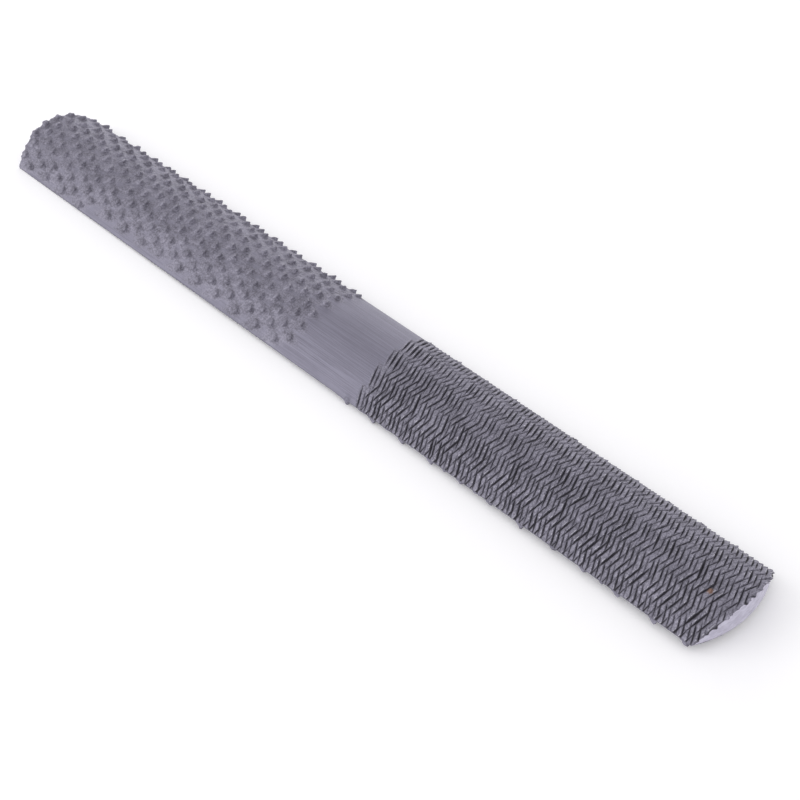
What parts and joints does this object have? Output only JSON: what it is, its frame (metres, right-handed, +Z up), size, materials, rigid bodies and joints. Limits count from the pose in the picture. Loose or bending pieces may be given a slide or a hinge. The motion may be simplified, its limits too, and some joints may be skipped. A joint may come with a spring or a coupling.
{
  "type": "wood rasp",
  "caption": "Half-round and flat wood rasp in one steel bar: rasp teeth on one end and file cuts on the other of each face, with a plain band for the hand.",
  "frame": {"origin": "middle of the footprint, at the level of the tips of the teeth on the flat face", "axes": "+X along the bar, towards the end whose crown is file-cut; +Z up, out of the middle of the crown; +Y across the bar"},
  "size_m": [0.2, 0.025, 0.0084],
  "materials": {
    "steel": "bare hardened tool steel, dull grey, brushed where it is plain"
  },
  "bodies": {
    "root": {"rasp_bar": "steel"}
  },
  "joints": []
}
